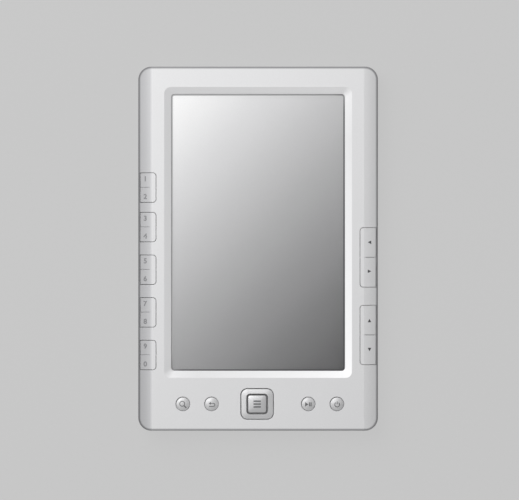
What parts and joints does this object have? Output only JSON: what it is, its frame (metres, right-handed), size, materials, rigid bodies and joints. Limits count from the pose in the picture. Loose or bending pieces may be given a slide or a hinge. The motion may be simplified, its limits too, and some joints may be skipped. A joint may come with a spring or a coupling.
{
  "type": "e-reader",
  "caption": "Slim tablet-shaped reader: large display, rocking number keys on the left, long rocking keys on the right, a button row with a direction ring, and sockets along the bottom edge.",
  "frame": {"origin": "middle of the flat back, which the part lies on", "axes": "+X right across the front, +Y towards the top edge, +Z out of the screen"},
  "size_m": [0.1306, 0.198, 0.0117],
  "materials": {
    "silver_painted_plastic": "satin metallic paint",
    "silver_key_plastic": "glossy metallic paint",
    "clear_window_plastic": "polished clear acrylic",
    "black_foam": "closed-cell foam",
    "sheet_steel": "bright rolled sheet",
    "display_cell": "display glass with polariser",
    "diffuser_plastic": "white diffuser",
    "amber_film": "polyimide film",
    "circuit_board": "solder mask",
    "black_resin": "moulded resin",
    "gold_contact": "gold flashed strip",
    "ferrite": "sintered ferrite",
    "white_nylon": "moulded nylon",
    "zinc_screw": "zinc plated",
    "battery_pouch": "laminated foil",
    "tape": "adhesive foam tape",
    "lead_sleeve": "insulated lead",
    "silicone": "silicone rubber"
  },
  "bodies": {
    "housing": {"front_cover": "silver_painted_plastic", "back_cover": "silver_painted_plastic", "display_window": "clear_window_plastic", "display_gasket": "black_foam", "lcd_frame": "sheet_steel", "usb_shell": "sheet_steel", "card_shell": "sheet_steel", "key_domes": "sheet_steel", "left_domes": "sheet_steel", "right_domes": "sheet_steel", "lcd_glass": "display_cell", "backlight": "diffuser_plastic", "lcd_flex": "amber_film", "key_flex": "amber_film", "left_key_flex": "amber_film", "right_key_flex": "amber_film", "main_board": "circuit_board", "key_board": "circuit_board", "left_key_board": "circuit_board", "right_key_board": "circuit_board", "processor": "black_resin", "memory_chips": "black_resin", "usb_tongue": "black_resin", "headphone_jack": "black_resin", "card_base": "black_resin", "slide_switch_body": "black_resin", "reset_switch_body": "black_resin", "usb_contacts": "gold_contact", "power_parts": "ferrite", "board_connectors": "white_nylon", "left_key_bracket": "white_nylon", "right_key_bracket": "white_nylon", "board_screws": "zinc_screw", "key_board_screws": "zinc_screw", "bracket_screws": "zinc_screw", "case_screws": "zinc_screw", "battery": "battery_pouch", "battery_tape": "tape", "battery_leads": "lead_sleeve"},
    "number_key_1": {"number_key_1": "silver_key_plastic"},
    "number_key_2": {"number_key_2": "silver_key_plastic"},
    "number_key_3": {"number_key_3": "silver_key_plastic"},
    "number_key_4": {"number_key_4": "silver_key_plastic"},
    "number_key_5": {"number_key_5": "silver_key_plastic"},
    "page_key": {"page_key": "silver_key_plastic"},
    "scroll_key": {"scroll_key": "silver_key_plastic"},
    "search_button": {"search_button": "silver_key_plastic"},
    "back_button": {"back_button": "silver_key_plastic"},
    "play_button": {"play_button": "silver_key_plastic"},
    "power_button": {"power_button": "silver_key_plastic"},
    "nav_pad": {"nav_pad": "silicone"},
    "nav_ring": {"nav_ring": "silver_key_plastic"},
    "menu_key": {"menu_key": "silver_key_plastic"},
    "switch_knob": {"switch_knob": "silver_key_plastic"},
    "reset_plunger": {"reset_plunger": "white_nylon"}
  },
  "joints": [
    {"name": "number_key_1_rock", "type": "hinge", "parent": "housing", "child": "number_key_1", "pos_m": [-0.05905, 0.0332, 0.0077], "axis": [1, 0, 0], "range_deg": [-2, 2], "stiffness_Nm_per_rad": 0.4},
    {"name": "number_key_2_rock", "type": "hinge", "parent": "housing", "child": "number_key_2", "pos_m": [-0.05905, 0.0117, 0.0077], "axis": [1, 0, 0], "range_deg": [-2, 2], "stiffness_Nm_per_rad": 0.4},
    {"name": "number_key_3_rock", "type": "hinge", "parent": "housing", "child": "number_key_3", "pos_m": [-0.05905, -0.0115, 0.0077], "axis": [1, 0, 0], "range_deg": [-2, 2], "stiffness_Nm_per_rad": 0.4},
    {"name": "number_key_4_rock", "type": "hinge", "parent": "housing", "child": "number_key_4", "pos_m": [-0.05905, -0.0347, 0.0077], "axis": [1, 0, 0], "range_deg": [-2, 2], "stiffness_Nm_per_rad": 0.4},
    {"name": "number_key_5_rock", "type": "hinge", "parent": "housing", "child": "number_key_5", "pos_m": [-0.05905, -0.0579, 0.0077], "axis": [1, 0, 0], "range_deg": [-2, 2], "stiffness_Nm_per_rad": 0.4},
    {"name": "page_key_rock", "type": "hinge", "parent": "housing", "child": "page_key", "pos_m": [0.05905, -0.0048, 0.0077], "axis": [1, 0, 0], "range_deg": [-1.2, 1.2], "stiffness_Nm_per_rad": 1.2},
    {"name": "scroll_key_rock", "type": "hinge", "parent": "housing", "child": "scroll_key", "pos_m": [0.05905, -0.047, 0.0077], "axis": [1, 0, 0], "range_deg": [-1.2, 1.2], "stiffness_Nm_per_rad": 1.2},
    {"name": "search_button_press", "type": "slide", "parent": "housing", "child": "search_button", "axis": [0, 0, -1], "range_m": [0, 0.0003], "stiffness_N_per_m": 3000},
    {"name": "back_button_press", "type": "slide", "parent": "housing", "child": "back_button", "axis": [0, 0, -1], "range_m": [0, 0.0003], "stiffness_N_per_m": 3000},
    {"name": "play_button_press", "type": "slide", "parent": "housing", "child": "play_button", "axis": [0, 0, -1], "range_m": [0, 0.0003], "stiffness_N_per_m": 3000},
    {"name": "power_button_press", "type": "slide", "parent": "housing", "child": "power_button", "axis": [0, 0, -1], "range_m": [0, 0.0003], "stiffness_N_per_m": 3000},
    {"name": "nav_up_down", "type": "hinge", "parent": "housing", "child": "nav_pad", "pos_m": [-0.0005, -0.0845, 0.0086], "axis": [1, 0, 0], "range_deg": [-1.5, 1.5], "stiffness_Nm_per_rad": 0.5},
    {"name": "nav_left_right", "type": "hinge", "parent": "nav_pad", "child": "nav_ring", "pos_m": [-0.0005, -0.0845, 0.0093], "axis": [0, 1, 0], "range_deg": [-1.5, 1.5], "stiffness_Nm_per_rad": 0.5},
    {"name": "menu_key_press", "type": "slide", "parent": "housing", "child": "menu_key", "axis": [0, 0, -1], "range_m": [0, 0.0003], "stiffness_N_per_m": 3000},
    {"name": "switch_slide", "type": "slide", "parent": "housing", "child": "switch_knob", "axis": [-1, 0, 0], "range_m": [0, 0.0033]},
    {"name": "reset_press", "type": "slide", "parent": "housing", "child": "reset_plunger", "axis": [0, 1, 0], "range_m": [0, 0.0003], "stiffness_N_per_m": 1000}
  ]
}
